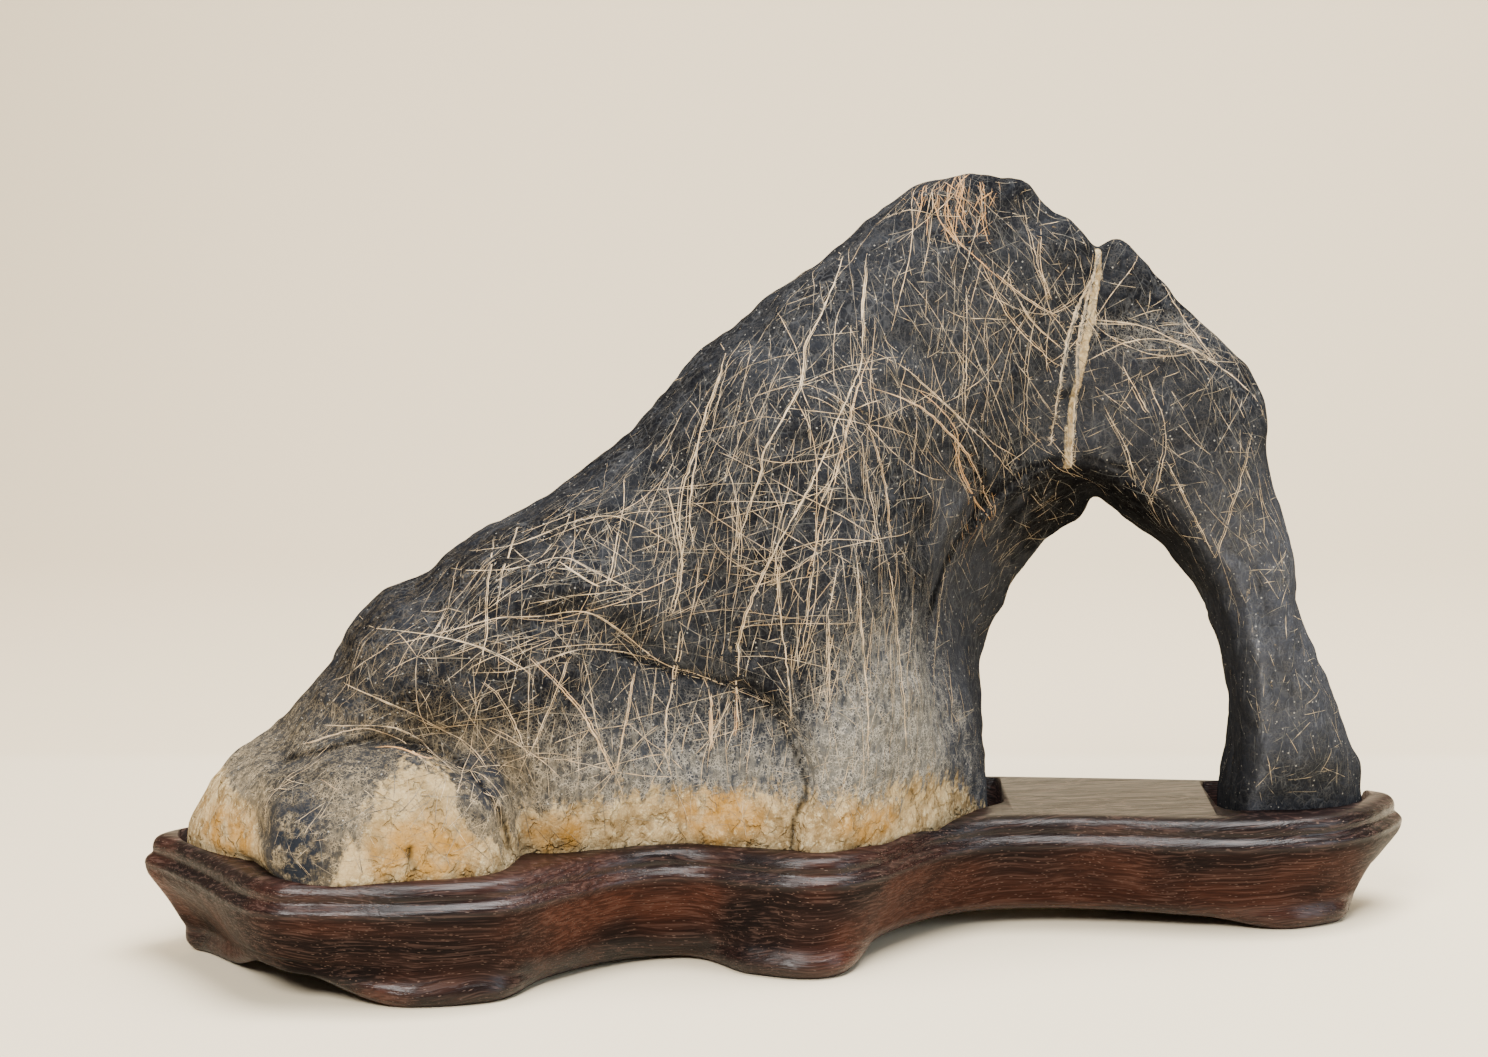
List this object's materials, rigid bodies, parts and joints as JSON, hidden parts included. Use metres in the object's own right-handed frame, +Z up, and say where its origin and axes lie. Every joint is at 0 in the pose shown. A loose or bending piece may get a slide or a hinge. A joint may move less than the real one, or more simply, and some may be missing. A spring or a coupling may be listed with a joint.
{
  "type": "scholars rock",
  "caption": "dark veined limestone scholar's rock with a natural arch, resting in the fitted sockets of a carved hardwood stand",
  "frame": {"origin": "on the table, at the middle of the object's footprint box", "axes": "+X along the stand from the stone's toe to the arch, +Y to the back, +Z up"},
  "size_m": [0.4427, 0.1535, 0.261],
  "materials": {
    "stone": null,
    "wood": "dark rosewood under satin lacquer"
  },
  "bodies": {
    "root": {"stone": "stone", "stand": "wood"}
  },
  "joints": []
}
